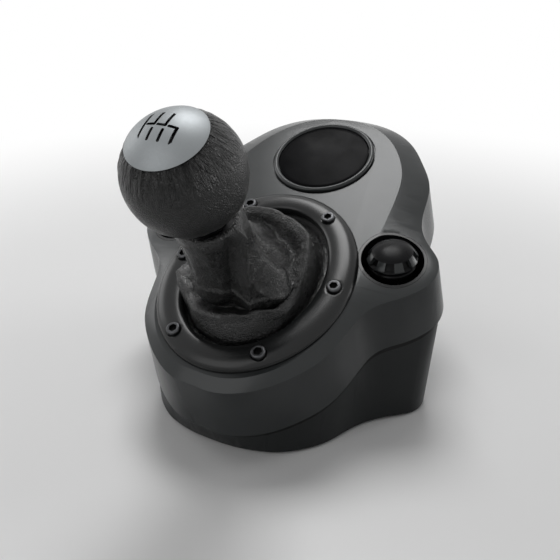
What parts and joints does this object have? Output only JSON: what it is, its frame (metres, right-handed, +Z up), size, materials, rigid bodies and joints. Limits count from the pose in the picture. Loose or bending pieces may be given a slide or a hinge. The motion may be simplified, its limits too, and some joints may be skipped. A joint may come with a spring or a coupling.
{
  "type": "gear shifter",
  "caption": "Desktop gear shifter for driving games: sloping oval case, leather boot, ball knob with a metal gear pattern cap, screw clamps.",
  "frame": {"origin": "middle of the whole shifter, on the desk under the rubber feet", "axes": "+X to the right of the driver, +Y away from the driver, +Z up"},
  "size_m": [0.165, 0.2042, 0.1581],
  "materials": {
    "shell_grey": "fine satin moulded grain",
    "shell_black": "fine matt moulded grain",
    "gloss_black": "polished",
    "ring_black": "smooth satin",
    "leather_black": "fine pebbled grain",
    "cap_metal": "brushed satin",
    "screw_black": "black oxide with worn edges",
    "screw_steel": "zinc plated",
    "steel": "machined",
    "brass": "machined",
    "spring_steel": "drawn wire",
    "foot_rubber": "matt",
    "board_green": "solder resist",
    "sensor_black": "moulded",
    "frame_nylon": "glass filled nylon"
  },
  "bodies": {
    "base": {"upper_shell": "shell_grey", "lower_shell": "shell_black", "base_plate": "shell_black", "boot_ring": "ring_black", "boot_retainer": "frame_nylon", "badge_bezel": "shell_grey", "badge_disc": "gloss_black", "chassis": "frame_nylon", "gate_plate": "steel", "circuit_board": "board_green", "select_sensor": "sensor_black", "cable_gland": "foot_rubber", "knob_cup_left": "ring_black", "knob_cup_right": "ring_black", "ring_screws": "screw_black", "shell_screws": "screw_steel", "plate_screws": "screw_steel", "rubber_feet": "foot_rubber", "thread_inserts": "brass", "chassis_screws": "screw_steel", "gate_screws": "screw_steel", "boot_skirt": "leather_black"},
    "yoke": {"select_yoke": "frame_nylon", "shift_axle": "steel", "select_pins": "steel", "shift_sensor": "sensor_black", "boot_cuff": "leather_black"},
    "lever": {"lever_hub": "frame_nylon", "gate_finger": "steel", "return_spring": "spring_steel", "boot_band": "frame_nylon"},
    "knob": {"shift_shaft": "steel", "knob_core": "frame_nylon", "knob_cover": "leather_black", "knob_collar": "ring_black", "knob_cap": "cap_metal"},
    "clamp_knob_left": {"clamp_knob_left": "gloss_black", "clamp_screw_left": "steel"},
    "clamp_knob_right": {"clamp_knob_right": "gloss_black", "clamp_screw_right": "steel"},
    "clamp_arm_left": {"clamp_arm_left": "frame_nylon", "clamp_pad_left": "foot_rubber"},
    "clamp_arm_right": {"clamp_arm_right": "frame_nylon", "clamp_pad_right": "foot_rubber"}
  },
  "joints": [
    {"name": "select", "type": "hinge", "parent": "base", "child": "yoke", "pos_m": [0, -0.02364, 0.0426], "axis": [0, 0.8586, 0.5127], "range_deg": [-7.5, 15], "stiffness_Nm_per_rad": 0.5, "deforming": ["boot_skirt"]},
    {"name": "shift", "type": "hinge", "parent": "yoke", "child": "lever", "pos_m": [0, -0.02364, 0.0426], "axis": [1, 0, 0], "range_deg": [-10, 10], "deforming": ["boot_cuff"]},
    {"name": "push", "type": "slide", "parent": "lever", "child": "knob", "axis": [0, 0.5127, -0.8586], "range_m": [0, 0.004], "stiffness_N_per_m": 400, "springref_m": -0.01, "deforming": ["return_spring"]},
    {"name": "clamp_slide_left", "type": "slide", "parent": "base", "child": "clamp_arm_left", "axis": [0, 0.2419, -0.9703], "range_m": [0, 0.03]},
    {"name": "clamp_turn_left", "type": "hinge", "parent": "base", "child": "clamp_knob_left", "pos_m": [-0.0581, 0.00058, 0.07783], "axis": [0, -0.2419, 0.9703], "range_deg": [0, 2700]},
    {"name": "clamp_slide_right", "type": "slide", "parent": "base", "child": "clamp_arm_right", "axis": [0, 0.2419, -0.9703], "range_m": [0, 0.03]},
    {"name": "clamp_turn_right", "type": "hinge", "parent": "base", "child": "clamp_knob_right", "pos_m": [0.0581, 0.00058, 0.07783], "axis": [0, -0.2419, 0.9703], "range_deg": [0, 2700]}
  ],
  "couplings": [
    {"joint": "clamp_turn_left", "follows": "clamp_slide_left", "rad_per_m": 1570.8},
    {"joint": "clamp_turn_right", "follows": "clamp_slide_right", "rad_per_m": 1570.8}
  ]
}
